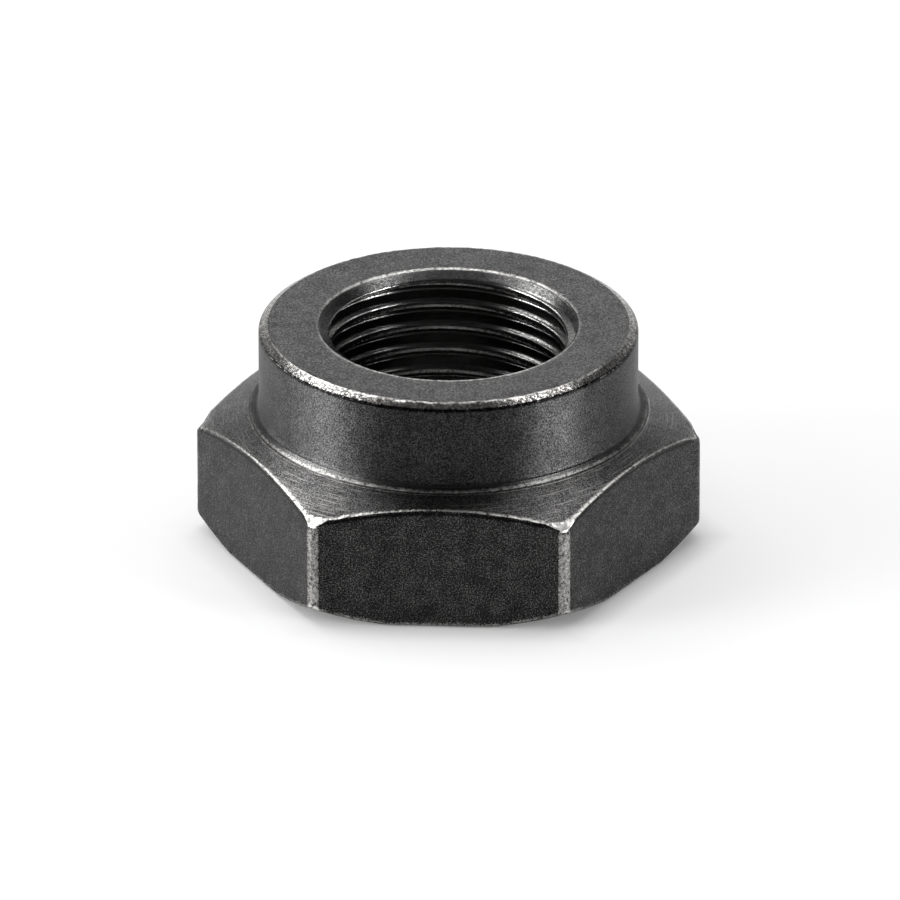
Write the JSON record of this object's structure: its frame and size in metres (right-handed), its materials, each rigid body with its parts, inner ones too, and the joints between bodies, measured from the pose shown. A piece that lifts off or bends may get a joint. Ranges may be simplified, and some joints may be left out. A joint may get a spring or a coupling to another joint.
{
  "type": "adjusting nut",
  "caption": "Collared hexagon adjusting nut with a turned cone above the flats, a round collar on one face and a fine thread right through.",
  "frame": {"origin": "centre of the flat bearing face under the hexagon, on the bore's axis", "axes": "+Z along the bore and out of the collar, two of the six flats face -Y and +Y, two corners lie on -X and +X"},
  "size_m": [0.031, 0.027, 0.014],
  "materials": {
    "black_oxide_steel": "black oxide over a turned and milled surface, rubbed bright along the edges"
  },
  "bodies": {
    "root": {"adjusting_nut": "black_oxide_steel"}
  },
  "joints": []
}
